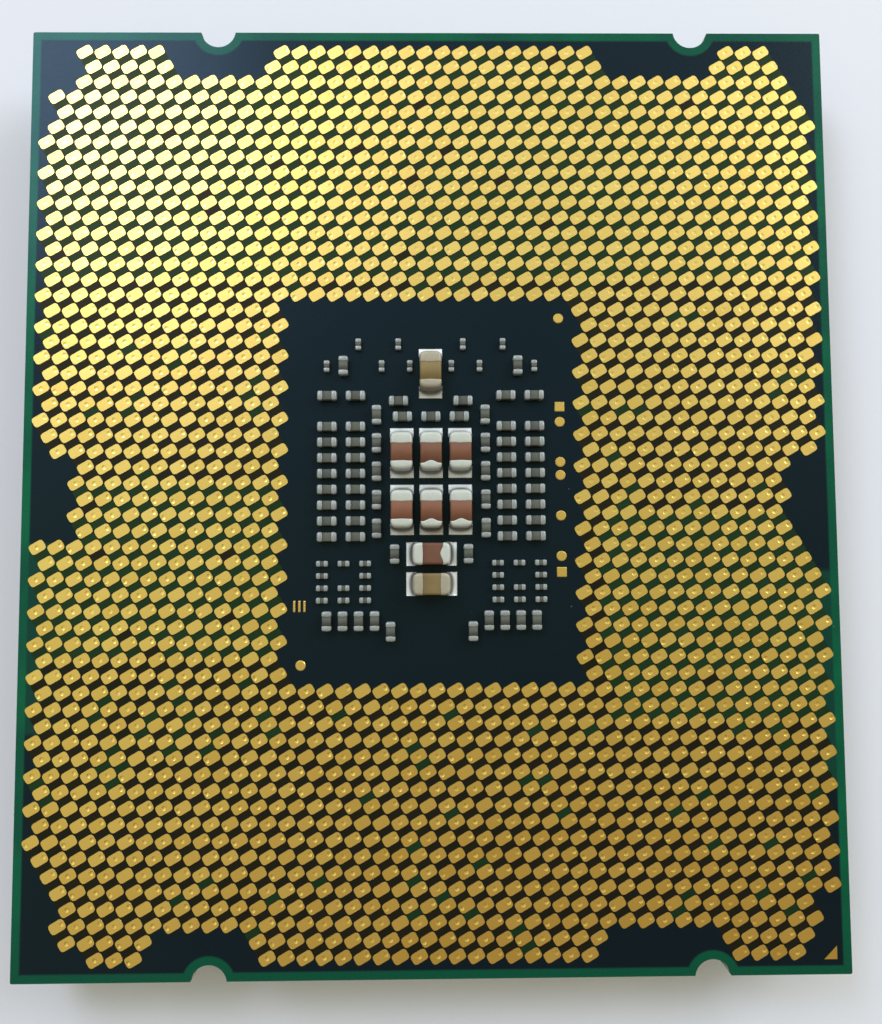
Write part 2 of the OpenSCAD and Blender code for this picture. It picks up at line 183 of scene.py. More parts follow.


# soft gold plating: each land has its own tone, and its via dimple is shinier and painted paler as a
# highlight
def goldLook(tree):
    form = goldFinish
    place = inMm(tree)
    tone = tag(tree, "tone")
    dimple = tag(tree, "dimple")
    cloud = noise(tree, place, *form["cloud"])
    grain = noise(tree, place, *form["grain"])
    ofCloud, ofGrain, ofTone = form["shares"]
    shade = cloud * ofCloud + grain * ofGrain + tone * ofTone + form["lift"]
    rough = form["rough"] + (grain - 0.5) * form["roughSwing"]
    return {
        # the dimple takes the paler colour, a painted highlight
        "Base Color": dimple.between(shade.between(form["deep"], form["pale"]), form["dimple"]),
        "Metallic": 1.0,
        "Roughness": rough + dimple * (form["dimpleRough"] - form["rough"]),
        "Normal": bump(tree, grain, *form["relief"]),
    }


maskFinish = {
    "cloud": (0.25, 3.0),
    "grain": (9.0, 3.0),
    "bay": paint(8, 20, 28),
    "bayWarm": paint(12, 23, 29),
    "bayShares": (0.7, 0.3),  # cloud, grain
    "border": paint(8, 92, 58),
    "borderDark": paint(8, 73, 51),
    "borderWidth": 0.46,
    "borderBlur": 0.07,
    "borderCloud": (0.3, 0.7),
    "borderFade": (-27, -20),  # y in mm
    # copper strips beside the lands: side of the board, from y, to y in mm
    "strips": [(-1, -13.2, -2.9), (1, -16.0, -4.6)],
    "strip": paint(12, 56, 44),
    "stripFrom": 20.2,
    "stripBlur": 0.1,
    "stripEndBlur": 0.2,
    "speck": paint(96, 106, 110),
    "speckScale": 0.9,
    "speckSize": (0.02, 0.05),
    "speckRare": (0.8, 0.82),
    "speckShow": 0.6,
    "core": paint(142, 146, 122),
    "coreFibre": paint(172, 173, 150),
    "fibre": (3.0, 4.0),
    "fibreStretch": (1.2, 1.2, 14.0),
    "fibreEdge": (0.42, 0.62),
    "film": paint(20, 72, 50),
    "filmThick": 0.34,
    "filmBlur": 0.02,
    "notches": (-12.0, 15.0),  # x in mm
    "notchRadius": 0.98,
    "notchDepth": 0.86,
    "flatFrom": (0.4, 0.6),
    "sideRough": 0.74,
    "flatSmoother": 0.46,
    "roughSwing": 0.1,
    "gloss": 0.22,
    "glossTint": (0.52, 0.82, 1.0, 1.0),
    "relief": (0.12, 0.006),
}


# distance in mm to the nearest edge of the board, its four notches counted as edges
def edgeDistance(tree, x, y):
    _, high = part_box("substrate")
    halfX, halfY = high.x / mm, high.y / mm
    near = tree.math("MINIMUM", halfX - abs(x), halfY - abs(y))
    notchY = halfY - maskFinish["notchDepth"] + maskFinish["notchRadius"]
    rise = abs(y) - notchY
    for notchX in maskFinish["notches"]:
        run = x - notchX
        away = tree.math("SQRT", run * run + rise * rise) - maskFinish["notchRadius"]
        near = tree.math("MINIMUM", near, away)
    return near


# dark mask in the middle and green along the edge, then film, core and glass fibre on the sawn sides
def maskLook(tree):
    form = maskFinish
    place = inMm(tree)
    x, y, z = splitAxes(tree, place)
    cloud = noise(tree, place, *form["cloud"])
    grain = noise(tree, place, *form["grain"])
    inner = edgeDistance(tree, x, y).past(form["borderWidth"], form["borderBlur"])
    # the border is darker towards the bottom edge, and in cloudy patches
    greenShare = cloud.rise(*form["borderCloud"]) * y.rise(*form["borderFade"])
    border = greenShare.between(form["borderDark"], form["border"])
    ofCloud, ofGrain = form["bayShares"]
    bay = (cloud * ofCloud + grain * ofGrain).between(form["bay"], form["bayWarm"])
    for hand, start, end in form["strips"]:
        beside = (x * hand).past(form["stripFrom"], form["stripBlur"])
        along = y.past(start, form["stripEndBlur"]) * (1 - y.past(end, form["stripEndBlur"]))
        bay = (beside * along).between(bay, form["strip"])
    cells = tree.add("ShaderNodeTexVoronoi", None, {"Vector": place, "Scale": form["speckScale"]})
    rare = tree.add("ShaderNodeSeparateColor", None, {0: cells.other(1)})
    speck = (1 - cells.rise(*form["speckSize"])) * rare.rise(*form["speckRare"]) * form["speckShow"]
    top = speck.between(inner.between(border, bay), form["speck"])
    low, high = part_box("substrate")
    middle, half = (low.z + high.z) / 2 / mm, (high.z - low.z) / 2 / mm
    film = half - form["filmThick"]
    inCore = 1 - abs(z - middle).rise(film - form["filmBlur"], film)
    fibre = noise(tree, stretched(tree, place, form["fibreStretch"]), *form["fibre"])
    core = fibre.rise(*form["fibreEdge"]).between(form["core"], form["coreFibre"])
    side = inCore.between(form["film"], core)
    _, _, facing = splitAxes(tree, tree.add("ShaderNodeTexCoord", out=1))
    flat = abs(facing).rise(*form["flatFrom"])
    return {
        "Base Color": flat.between(side, top),
        "Roughness": form["sideRough"] - flat * form["flatSmoother"] + (grain - 0.5) * form["roughSwing"],
        "Specular IOR Level": form["gloss"],
        "Specular Tint": form["glossTint"],
        "Normal": bump(tree, grain + cloud, *form["relief"]),
    }


gapFinish = {
    # dark tone, light tone
    "core": (paint(15, 16, 12), paint(24, 23, 16)),
    "copper": (paint(9, 38, 21), paint(17, 51, 28)),
    "grain": (11.0, 3.0),
    "shares": (0.5, 0.5),  # grain, the gap's own tone
    "rough": 0.34,
    "roughSwing": 0.16,
    "gloss": 0.19,
    "glossTint": (1.0, 0.9, 0.55, 1.0),
    "relief": (0.15, 0.004),
}


# mask over the gaps between lands, green where copper lies below it
def gapLook(below):
    form = gapFinish

    def look(tree):
        grain = noise(tree, inMm(tree), *form["grain"])
        ofGrain, ofTone = form["shares"]
        return {
            "Base Color": (grain * ofGrain + tag(tree, "tone") * ofTone).between(*form[below]),
            "Roughness": form["rough"] + grain * form["roughSwing"],
            "Specular IOR Level": form["gloss"],
            "Specular Tint": form["glossTint"],
            "Normal": bump(tree, grain, *form["relief"]),
        }
    return look


ceramicFinish = {
    # dark tone, light tone
    "brown": (paint(98, 63, 48), paint(135, 89, 64)),
    "tan": (paint(109, 93, 56), paint(141, 121, 76)),
    "slate": (paint(54, 59, 59), paint(98, 100, 87)),
    "cloud": (1.6, 3.0),
    "grain": (32.0, 3.0),
    "shares": (0.5, 0.35, 0.3),  # cloud, grain, the chip's own tone
    "pore": (55.0, 1.0),
    "poreEdge": (0.28, 0.36),
    "poreShow": 0.5,
    "poreLight": 0.6,
    "rough": 0.52,
    "roughSwing": 0.14,
    "gloss": 0.35,
    "relief": (0.3, 0.006),
}


# fired ceramic: fine grain with a few darker pores and cloudy colour
def ceramicLook(kind):
    form = ceramicFinish
    shade, light = form[kind]

    def look(tree):
        place = inMm(tree)
        cloud = noise(tree, place, *form["cloud"])
        grain = noise(tree, place, *form["grain"])
        pore = 1 - noise(tree, place, *form["pore"]).rise(*form["poreEdge"])
        ofCloud, ofGrain, ofTone = form["shares"]
        body = (cloud * ofCloud + grain * ofGrain + tag(tree, "tone") * ofTone).between(shade, light)
        return {
            "Base Color": (pore * form["poreShow"]).between(body, dimmed(shade, form["poreLight"])),
            "Roughness": form["rough"] + grain * form["roughSwing"],
            "Specular IOR Level": form["gloss"],
            "Normal": bump(tree, grain, *form["relief"]),
        }
    return look


platedFinish = {
    # dark tone, light tone, how metallic, roughness, strength of the relief
    "cream": (paint(173, 178, 167), paint(202, 205, 194), 0.2, 0.5, 0.3),
    "dusk": (paint(146, 141, 122), paint(177, 168, 145), 0.25, 0.5, 0.25),
    "silver": (paint(127, 132, 130), paint(166, 171, 168), 0.4, 0.42, 0.3),
    "solder": (paint(231, 234, 232), paint(248, 250, 247), 0.25, 0.3, 0.2),
    "cloud": (3.2, 3.0),
    "grain": (18.0, 3.0),
    "crystalScale": 22.0,
    "shares": (0.7, 0.3),  # cloud, crystals
    # share of the dark tone's light kept in the painted shade on the solder
    "paintedShadeLight": 0.12,
    "roughSwing": 0.2,
    "reliefDepth": 0.01,
}


# matte plated ends or shiny solder: mottled metal over a fine crystalline bump, darkened by painted shade
# where the solder's shade tag is 1
def platedLook(kind):
    form = platedFinish
    shade, light, metal, rough, strength = form[kind]

    def look(tree):
        place = inMm(tree)
        cloud = noise(tree, place, *form["cloud"])
        grain = noise(tree, place, *form["grain"])
        crystal = tree.add("ShaderNodeTexVoronoi", None, {"Vector": place, "Scale": form["crystalScale"]})
        facet = tree.add("ShaderNodeSeparateColor", None, {0: crystal.other(1)})
        ofCloud, ofFacet = form["shares"]
        unshaded = (cloud * ofCloud + facet * ofFacet).between(shade, light)
        return {
            # painted shade on the solder where its shade tag is 1
            "Base Color": tag(tree, "stain").between(unshaded, dimmed(shade, form["paintedShadeLight"])),
            "Metallic": metal,
            "Roughness": rough + (grain - 0.5) * form["roughSwing"],
            "Normal": bump(tree, grain + cloud, strength, form["reliefDepth"]),
        }
    return look


nickelFinish = {
    "shade": paint(168, 165, 158),
    "light": paint(205, 203, 196),
    "brush": (2.0, 4.0),
    "brushStretch": (0.6, 16.0, 16.0),
    "blotch": (0.18, 4.0),
    "shares": (0.6, 0.4),  # blotch, brush
    "rough": 0.26,
    "roughSwing": 0.16,
    "relief": (0.18, 0.01),
}


# satin nickel lid: fine brushing along X, faint blotches
def nickelLook(tree):
    form = nickelFinish
    place = inMm(tree)
    brush = noise(tree, stretched(tree, place, form["brushStretch"]), *form["brush"])
    blotch = noise(tree, place, *form["blotch"])
    ofBlotch, ofBrush = form["shares"]
    return {
        "Base Color": (blotch * ofBlotch + brush * ofBrush).between(form["shade"], form["light"]),
        "Metallic": 1.0,
        "Roughness": form["rough"] + brush * form["roughSwing"],
        "Normal": bump(tree, brush, *form["relief"]),
    }


pasteFinish = {
    # dark tone, light tone, how metallic, roughness, strength of the relief
    "sealant": (paint(40, 40, 42), paint(60, 60, 62), 0.0, 0.62, 0.5),
    "lidSolder": (paint(150, 152, 158), paint(182, 184, 190), 1.0, 0.45, 0.3),
    "silicon": (paint(70, 72, 82), paint(92, 94, 106), 0.6, 0.2, 0.05),
    "underfill": (paint(38, 38, 48), paint(58, 58, 70), 0.0, 0.4, 0.3),
    "cloud": (1.1, 4.0),
    "grain": (12.0, 2.0),
    "shares": (0.6, 0.4),  # cloud, grain
    "roughSwing": 0.15,
    "reliefDepth": 0.03,
}


# cured pastes and dull solids under the lid: cloudy colour, a soft uneven surface
def pasteLook(kind):
    form = pasteFinish
    shade, light, metal, rough, strength = form[kind]

    def look(tree):
        place = inMm(tree)
        cloud = noise(tree, place, *form["cloud"])
        grain = noise(tree, place, *form["grain"])
        ofCloud, ofGrain = form["shares"]
        return {
            "Base Color": (cloud * ofCloud + grain * ofGrain).between(shade, light),
            "Metallic": metal,
            "Roughness": rough + (grain - 0.5) * form["roughSwing"],
            "Normal": bump(tree, cloud + grain, strength, form["reliefDepth"]),
        }
    return look


gold = finish("goldPlating", goldLook)
mask = finish("solderMask", maskLook)
gapDark = finish("maskOverCore", gapLook("core"))
gapGreen = finish("maskOverCopper", gapLook("copper"))
brownCeramic = finish("brownCeramic", ceramicLook("brown"))
tanCeramic = finish("tanCeramic", ceramicLook("tan"))
slateCeramic = finish("slateCeramic", ceramicLook("slate"))
creamTin = finish("creamTin", platedLook("cream"))
duskTin = finish("duskTin", platedLook("dusk"))
silverTin = finish("silverTin", platedLook("silver"))
solder = finish("solder", platedLook("solder"))
nickel = finish("satinNickel", nickelLook)
sealant = finish("lidSealant", pasteLook("sealant"))
lidSolder = finish("lidSolder", pasteLook("lidSolder"))
silicon = finish("dieSilicon", pasteLook("silicon"))
underfill = finish("underfill", pasteLook("underfill"))
print("finishes:", len(bpy.data.materials))


# rounded rectangles (…, n, 2), anticlockwise: four quarter arcs about the four corner centres,
# with extra points at equal steps along each straight side
def roundedRing(length, width, corner, steps, extra=0):
    turn = np.linspace(0, np.pi / 2, steps) + np.arange(4)[:, None] * np.pi / 2
    signX = np.array([1, -1, -1, 1])[:, None]
    signY = np.array([1, 1, -1, -1])[:, None]
    length, width, corner = (np.asarray(v, float)[..., None, None] for v in (length, width, corner))
    x = signX * (length / 2 - corner) + corner * np.cos(turn)
    y = signY * (width / 2 - corner) + corner * np.sin(turn)
    arcs = np.stack([x, y], -1)
    share = np.linspace(0, 1, extra + 2)[1:-1, None]
    start, end = arcs[..., -1:, :], np.roll(arcs, -1, -3)[..., :1, :]
    ring = np.concatenate([arcs, start + (end - start) * share], -2)
    return ring.reshape(*x.shape[:-2], -1, 2)


# skin over a stack of closed rings (k, n, 3): quads from ring to ring, a fan to a middle point at each end
def skin(rings):
    count, around = rings.shape[:2]
    here = np.arange(around)
    after = np.roll(here, -1)
    base = np.arange(count - 1)[:, None] * around
    quads = np.stack([base + here, base + after, base + around + after, base + around + here], -1)
    last = (count - 1) * around
    first = np.full(around, count * around)
    low = np.stack([first, after, here], -1)
    high = np.stack([first + 1, last + here, last + after], -1)
    middles = np.stack([rings[0].mean(0), rings[-1].mean(0)])
    points = np.concatenate([rings.reshape(-1, 3), middles])
    return points, [quads.reshape(-1, 4), np.concatenate([low, high])]


# copies of a skin, one (n, 3) or one for each place (c, n, 3), turned about Z and set down at the places
def setDown(points, faceSets, places, turns):
    points = np.broadcast_to(points, (len(places), *points.shape[-2:]))
    cos, sin = np.cos(turns)[:, None], np.sin(turns)[:, None]
    x = points[..., 0] * cos - points[..., 1] * sin
    y = points[..., 0] * sin + points[..., 1] * cos
    spread = np.stack([x, y, points[..., 2]], -1) + places[:, None]
    step = (np.arange(len(places)) * points.shape[1])[:, None, None]
    return spread.reshape(-1, 3), [(faces + step).reshape(-1, faces.shape[1]) for faces in faceSets]


# whole arrays into a mesh that rides on the package and stands for its nodes; points are in mm
# edges between creased points are sharp
def addPiece(name, points, faceSets, material, replaced, tags=None, creased=None):
    corners = np.concatenate([faces.ravel() for faces in faceSets])
    sizes = np.concatenate([np.full(len(faces), faces.shape[1]) for faces in faceSets])
    mesh = bpy.data.meshes.new(name)
    mesh.vertices.add(len(points))
    mesh.vertices.foreach_set("co", (points * mm).ravel())
    mesh.loops.add(len(corners))
    mesh.loops.foreach_set("vertex_index", corners)
    mesh.polygons.add(len(sizes))
    mesh.polygons.foreach_set("loop_start", np.cumsum(sizes) - sizes)
    mesh.update(calc_edges=True)
    mesh.shade_smooth()
    if creased is not None:
        ends = np.empty(len(mesh.edges) * 2, int)
        mesh.edges.foreach_get("vertices", ends)
        sharp = creased.ravel()[ends].reshape(-1, 2).all(1)
        mesh.attributes.new("sharp_edge", "BOOLEAN", "EDGE").data.foreach_set("value", sharp)
    for key, values in (tags or {}).items():
        mesh.attributes.new(key, "FLOAT", "POINT").data.foreach_set("value", values.ravel())
    mesh.materials.append(material)
    piece = bpy.data.objects.new(name, mesh)
    bpy.context.scene.collection.objects.link(piece)
    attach(piece, "root")
    if replaced:
        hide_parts(*replaced)


# low and high corners in mm of each separate solid of a node: labels spread along the edges until they settle
def solidBoxes(name):
    mesh = nodes[name].data
    places = np.empty(len(mesh.vertices) * 3)
    mesh.vertices.foreach_get("co", places)
    weld, label = np.unique(np.round(places.reshape(-1, 3) / mm, 4), axis=0, return_inverse=True)
    ends = np.empty(len(mesh.edges) * 2, int)
    mesh.edges.foreach_get("vertices", ends)
    ends = label.reshape(-1)[ends].reshape(-1, 2)
    mark = np.arange(len(weld))
    settled = False
    while not settled:
        spread = mark.copy()
        lowest = mark[ends].min(1)
        np.minimum.at(spread, ends[:, 0], lowest)
        np.minimum.at(spread, ends[:, 1], lowest)
        spread = spread[spread]
        settled = np.array_equal(spread, mark)
        mark = spread
    _, solid = np.unique(mark, return_inverse=True)
    low = np.full((solid.max() + 1, 3), np.inf)
    high = -low
    np.minimum.at(low, solid.reshape(-1), weld)
    np.maximum.at(high, solid.reshape(-1), weld)
    return low, high


# middle of each solid's underside, and the size of the first
def padFrames(node):
    low, high = solidBoxes(node)
    foot = (low + high) / 2
    foot[:, 2] = low[:, 2]
    return foot, (high - low)[0]


landPad = {
    "length": 0.925,
    "width": 0.635,
    "corner": 0.185,
    "turn": 30.0,
    "steps": 3,
    "crownIn": 0.025,
    "leastCorner": 0.01,
    "dimpleRadius": 0.13,
    "bowlRadius": 0.08,
    "bowlShare": 0.6,
    "dimpleDepth": 0.029,
    "dimpleShift": 0.28,
    # what a land can have, then how often
    "shiftOdds": ([-1.0, 0.0, 1.0], [0.12, 0.5, 0.38]),  # dimple on the left, in the middle, on the right
    "depthOdds": ([0.0, 0.6, 1.0], [0.06, 0.28, 0.66]),  # no depth, a part of it, all of it
    "plating": ([-16, 12], [1.0, 0.3]),  # y in mm, then the share of the depth left there
}


# pad on the mask: outline at the foot, set in to a flat crown, then the rim and the bowl of a round dimple
def padRings(length, width, corner, height, form):
    inset = np.array([0.0, form["crownIn"]])
    corners = np.maximum(corner - inset, landPad["leastCorner"])
    plan = roundedRing(length - 2 * inset, width - 2 * inset, corners, form["steps"])
    radius = np.array([form["dimpleRadius"], form["bowlRadius"]])
    turn = (np.arange(plan.shape[1]) + 0.5) * 2 * np.pi / plan.shape[1]
    dimple = radius[:, None, None] * np.stack([np.cos(turn), np.sin(turn)], -1)
    rings = np.concatenate([plan, dimple])
    level = np.array([0.0, 1.0, 1.0, 1.0]) * height
    heights = np.broadcast_to(level[:, None, None], (*rings.shape[:2], 1))
    return np.concatenate([rings, heights], -1)


# one bank of lands: each keeps its own tone and has its via at the middle, at an end or nowhere
def landBank(node, name):
    foot, size = padFrames(node)
    count = len(foot)
    rings = padRings(landPad["length"], landPad["width"], landPad["corner"], size[2], landPad)
    points, faceSets = skin(rings)
    around = rings.shape[1]
    crown, rim, bowl = (np.arange(around) + ring * around for ring in (1, 2, 3))
    last = len(points) - 1
    pads = np.repeat(points[None], count, 0)
    sides, often = landPad["shiftOdds"]
    shift = dice.choice(sides, count, p=often) * landPad["dimpleShift"]
    depths, often = landPad["depthOdds"]
    depth = landPad["dimpleDepth"] * dice.choice(depths, count, p=often)
    depth *= np.interp(foot[:, 1], *landPad["plating"])
    pads[:, np.r_[rim, bowl, last], 0] += shift[:, None]
    pads[:, bowl, 2] -= landPad["bowlShare"] * depth[:, None]
    pads[:, last, 2] -= depth
    tone = np.repeat(dice.random(count)[:, None], len(points), 1)
    dimple = np.zeros(tone.shape)
    dimple[:, np.r_[bowl, last]] = (depth > 0)[:, None]
    creased = np.zeros(tone.shape, bool)
    creased[:, np.r_[crown, rim]] = True
    spread, faceSets = setDown(pads, faceSets, foot, np.full(count, np.radians(landPad["turn"])))
    addPiece(name, spread, faceSets, gold, [node], {"tone": tone, "dimple": dimple}, creased)
    print("lands:", name, count)
    return foot


landFeet = np.concatenate([
    landBank("lands_top", "landsTop"),
    landBank("lands_left", "landsLeft"),
    landBank("lands_right", "landsRight"),
    landBank("lands_bottom", "landsBottom"),
])

gapTile = {
    "pitch": 1.016,
    "length": 0.86,
    "width": 0.36,
    "corner": 0.05,
    "steps": 2,
    "proud": 0.006,
    "sunk": 0.004,
    "followsIn": 0.1,  # mm from a full pitch on, within which the next land counts
    # copper planes under the mask: from x, to x, from y, to y in mm
    "planes": [(-22.5, 22.5, 12.0, 26.0), (-22.5, -8.6, -9.4, 0.2), (9.2, 22.5, -13.0, -1.4)],
    # how often copper shows in a plane, elsewhere, and more where the wave is high
    "inPlane": 0.97,
    "stray": 0.07,
    "patch": 0.12,
    "waveHigh": 0.45,
}


# product of two sines, one mainly along X and one mainly along Y, whose phases sway with the other axis
def copperWave(x, y):
    return np.sin(0.9 * x + 2 * np.sin(0.5 * y)) * np.sin(0.8 * y + 1.5 * np.sin(0.6 * x))


# mask tiles in the gaps: half a pitch square to a land's long axis,
# wherever the next land follows a full pitch on
def maskGaps():
    turn = np.radians(landPad["turn"])
    across = np.array([-np.sin(turn), np.cos(turn), 0.0]) * gapTile["pitch"]
    away = np.linalg.norm(landFeet[:, None, :2] - (landFeet + across)[None, :, :2], axis=-1)
    gaps = landFeet[away.min(0) < gapTile["followsIn"]] + across / 2
    x, y = gaps[:, 0], gaps[:, 1]
    inPlane = np.zeros(len(gaps), bool)
    for left, right, bottom, top in gapTile["planes"]:
        inPlane |= (x > left) & (x < right) & (y > bottom) & (y < top)
    patches = gapTile["stray"] + gapTile["patch"] * (copperWave(x, y) > gapTile["waveHigh"])
    copper = np.where(inPlane, gapTile["inPlane"], patches) > dice.random(len(gaps))
    plan = roundedRing(gapTile["length"], gapTile["width"], gapTile["corner"], gapTile["steps"])
    levels = np.array([-gapTile["sunk"], gapTile["proud"]])
    heights = np.broadcast_to(levels[:, None, None], (2, len(plan), 1))
    points, faceSets = skin(np.concatenate([np.repeat(plan[None], 2, 0), heights], -1))
    for name, chosen, material in (("maskOverCopper", copper, gapGreen), ("maskOverCore", ~copper, gapDark)):
        places = gaps[chosen]
        tone = np.repeat(dice.random(len(places))[:, None], len(points), 1)
        spread, faces = setDown(points, faceSets, places, np.full(len(places), turn))
        creased = np.ones(len(spread), bool)
        addPiece(name, spread, faces, material, [], {"tone": tone}, creased)
        print("gaps:", name, len(places))


maskGaps()

markPad = {
    "crownIn": 0.04,
    "dimpleRadius": 0.02,
    "bowlRadius": 0.01,
    "steps": 5,
    # corner radius as a share of the width
    "round": 0.49,
    "square": 0.08,
    "bar": 0.3,
}


# gold marks: flat pads of a node's own sizes
def markPads(node, name, kind):
    foot, (length, width, height) = padFrames(node)
    corner = markPad[kind] * min(length, width)
    points, faceSets = skin(padRings(length, width, corner, height, markPad))
    spread, faceSets = setDown(points, faceSets, foot, np.zeros(len(foot)))
    addPiece(name, spread, faceSets, gold, [node], creased=np.ones(len(spread), bool))


markPads("alignment_dots", "alignmentDots", "round")
markPads("test_pads_round", "testPadsRound", "round")
markPads("test_pads_square", "testPadsSquare", "square")
markPads("plain_bars", "plainBars", "bar")
print("marks: 4 groups")


# place, turn and sizes of the chips in a node pair; the ceramic's long side gives the turn
def chipFrames(bodies, ends):
    low, high = solidBoxes(bodies)
    size = high - low
    upright = size[:, 1] > size[:, 0]
    turns = np.where(upright, np.pi / 2, 0.0)
    order = [1, 0, 2] if upright[0] else [0, 1, 2]
    length, width, _ = size[0, order]
    endLow, endHigh = solidBoxes(ends)
    band, across, tall = (endHigh - endLow)[0, order]
    plating = (across - width) / 2
    foot = (low + high) / 2
    foot[:, 2] = endLow[:, 2].min()
    return foot, turns, (length + 2 * plating, across, tall), band, plating


# place and turn of both ends of each chip: as the chip lies, then half a turn on
def endFrames(feet, turns):
    return np.repeat(feet, 2, 0), np.repeat(turns, 2) + np.tile([0.0, np.pi], len(turns))


# what the cups of all sizes share
cupForm = {
    "leastCorner": 0.02,
    "lipInside": 2.0,  # insets of the lip's two rings, in thicknesses of the plating
    "lipEdge": 0.6,
    "swing": 0.8,  # share of the half width over which the lip swings
}


# sections of a chip along X: a rounded rectangle at each station, set in by its inset,
# with its centre at half the chip's height
def chipSections(stations, insets, width, height, form):
    corner = np.maximum(form["edge"] - insets, cupForm["leastCorner"])
    plan = roundedRing(width - 2 * insets, height - 2 * insets, corner, form["steps"], form["extra"])
    x = np.broadcast_to(stations[:, None, None], (*plan.shape[:2], 1))
    return np.concatenate([x, plan[..., :1], plan[..., 1:] + height / 2], -1)


# set-back of a cup's end: a share across the chip, 0 along the centre line, raised to the fourth power
def endArch(across, form):
    return form["endBow"] * across ** 4


# end cup on the +X end: a lip over the ceramic, a straight run and a rolled end
# the lip keeps its place on the centre line and swings outwards as a cosine to the sides,
# and the end is arched so that its corners fall back
def cupRings(outer, band, plating, form):
    length, width, height = outer
    roll = np.linspace(0, np.pi / 2, form["rollSteps"])
    inner, end = length / 2 - band, length / 2 - form["roll"]
    stations = np.concatenate([[inner, inner, inner + form["lip"]], end + form["roll"] * np.sin(roll)])
    lipInsets = [cupForm["lipInside"] * plating, plating * cupForm["lipEdge"], 0.0]
    insets = np.concatenate([lipInsets, form["roll"] * (1 - np.cos(roll))])
    rings = chipSections(stations, insets, width, height, form)
    lip, rest = rings[:len(lipInsets)], rings[len(lipInsets):]
    across = 2 * lip[..., 1] / width
    lip[..., 0] += form["bow"] * (1 - np.cos(np.pi * np.clip(across / cupForm["swing"], -1, 1)))
    rest[..., 0] -= endArch(2 * rest[..., 1] / width, form)
    return rings


# ceramic block that ends inside the two cups
def blockRings(outer, band, plating, form):
    length, width, height = outer
    reach = length / 2 - band + form["inside"]
    return chipSections(np.array([-reach, reach]), np.full(2, plating), width, height, form)


bulkForm = {
    "edge": 0.15,
    "steps": 6,
    "extra": 11,
    "roll": 0.2,
    "rollSteps": 6,
    "lip": 0.05,
    "bow": 0.01,
    "domed": 0.075,
    "endBow": 0.13,
    "lean": 0.08,
    "inside": 0.3,
}
# each one's ceramic, its tone, and whether its near or right cup is domed
bulkOnes = {
    "north": ("tan", 0.5, False),
    "upper_left": ("brown", 0.5, False),
    "upper_middle": ("brown", 0.15, True),
    "upper_right": ("brown", 0.55, False),
    "lower_left": ("brown", 1.2, False),
    "lower_middle": ("brown", 0.75, True),
    "lower_right": ("brown", 0.95, True),
    "south_inner": ("brown", -0.6, True),
    "south_outer": ("tan", -0.2, False),
}
# finish of the block, its slot, finish of the cups
bulkCeramics = {
    "tan": (tanCeramic, "tan_ceramic", duskTin),
    "brown": (brownCeramic, "brown_ceramic", creamTin),
}


# bulk capacitor: ceramic block and two cups
def bulkCapacitor(place):
    kind, tone, domed = bulkOnes[place]
    ceramic, slot, tin = bulkCeramics[kind]
    bodyNode, endsNode = "bulk_body_" + place, "bulk_ends_" + place
    foot, turns, outer, band, plating = chipFrames(bodyNode, endsNode)
    points, faceSets = setDown(*skin(blockRings(outer, band, plating, bulkForm)), foot, turns)
    tones = np.full(len(points), tone)
    addPiece("bulkCeramic_" + place, points, faceSets, ceramic, [bodyNode], {"tone": tones})
    upright = turns[0] > 0
    bows = [bulkForm["bow"], bulkForm["domed" if domed else "bow"]]
    bows = bows if upright else bows[::-1]
    lean = bulkForm["lean"] if upright else 0.0  # upright ones have the far cup longer than the near one
    cups = [
        skin(cupRings(outer, reach, plating, {**bulkForm, "bow": bow}))
        for reach, bow in zip((band + lean, band - lean), bows)
    ]
    bothCups = np.stack([cupPoints for cupPoints, _ in cups])
    points, faceSets = setDown(bothCups, cups[0][1], *endFrames(foot, turns))
    addPiece("bulkEnds_" + place, points, faceSets, tin, [endsNode])
    return foot[0], turns[0], outer


bulkFrames = [bulkCapacitor(place) for place in bulkOnes]
print("bulk capacitors:", len(bulkFrames))

filletForm = {
    "climb": 0.42,
    "scoop": 0.55,
    "fall": 2.0,
    "overlap": 0.12,
    "stations": 17,
    "steps": 12,
    "closer": 1.3,  # power that draws the steps in to the cup
    # painted shade beside the cup: its reach in mm, its blur, its darkest share, how it narrows to the sides,
    # and its share along the middle
    "stain": 0.21,
    "paintedShadeBlur": 0.18,
    "paintedShadeMost": 0.92,
    "paintedShadeNarrows": 0.6,
    "paintedShadeMiddle": 0.2,
}


# solder fillet at a +X end, carried across the chip: the height falls off as a power of the way out,
# and the climb is scooped low in the middle and high at the sides
# painted shade darkens the solder beside the cup and along the middle
def filletRings(outer, reach, padWidth):
    form = filletForm
    length = outer[0]
    across = np.linspace(-1, 1, form["stations"])[:, None]
    out = np.linspace(0, 1, form["steps"]) ** form["closer"]
    start = length / 2 - endArch(across, bulkForm)
    run = length / 2 + reach - start
    climb = form["climb"] * (1 - form["scoop"] * (1 - across ** 2))
    x = np.concatenate([np.repeat(start - form["overlap"], 2, 1), start + run * out], 1)
    z = np.concatenate([0 * climb, climb, climb * (1 - out) ** form["fall"]], 1)
    y = np.broadcast_to(across * padWidth / 2, x.shape)
    # painted shade: dark in the crevice beside the cup, lighter along the scooped middle
    shadeReach = form["stain"] * (1 - form["paintedShadeNarrows"] * across ** 2)
    near = np.clip((shadeReach - (x - start)) / form["paintedShadeBlur"] + 0.5, 0, form["paintedShadeMost"])
    stain = np.maximum(near, form["paintedShadeMiddle"] * (1 - across ** 2))
    return np.stack([x, y, z], -1), stain


